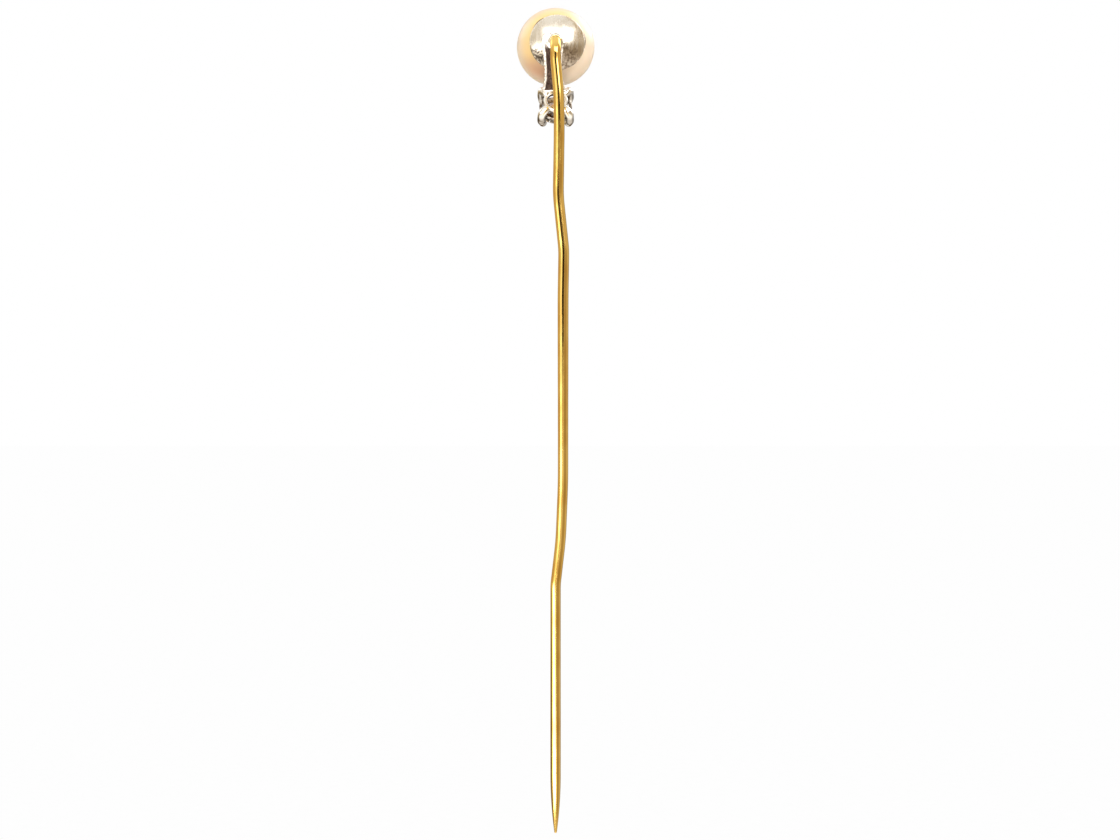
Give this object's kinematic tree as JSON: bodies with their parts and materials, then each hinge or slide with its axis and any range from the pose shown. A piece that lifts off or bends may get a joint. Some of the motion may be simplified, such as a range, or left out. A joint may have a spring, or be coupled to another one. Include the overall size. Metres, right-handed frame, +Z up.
{
  "type": "stick pin",
  "caption": "Pearl-headed pin: a round pearl in a domed cup, a small claw-set stone hung below it on a strap, and a kinked gold wire stem with a sharp point.",
  "frame": {"origin": "the tip of the stem's point", "axes": "+Z up along the straight lower shank, from the point to the pearl; the decorated front faces -Y, so the cup, strap and stem are at the back, towards +Y; +X is to the right of someone who looks at the front"},
  "size_m": [0.006, 0.0078, 0.0642],
  "materials": {
    "yellow_gold": "polished",
    "pearl": "lustrous",
    "polished_platinum": "polished",
    "dark_platinum": "dull, uneven",
    "solder": "bright",
    "cement": "matte",
    "diamond": "polished facets"
  },
  "bodies": {
    "root": {"pin_stem": "yellow_gold", "pearl": "pearl", "pearl_cup": "polished_platinum", "pearl_peg": "polished_platinum", "pearl_cement": "cement", "hanger_strap": "dark_platinum", "root_solder": "solder", "foot_solder": "solder", "base_rail": "polished_platinum", "gallery_rail": "polished_platinum", "claw_upper_left": "polished_platinum", "claw_upper_right": "polished_platinum", "claw_lower_left": "polished_platinum", "claw_lower_right": "polished_platinum", "diamond": "diamond"}
  },
  "joints": []
}
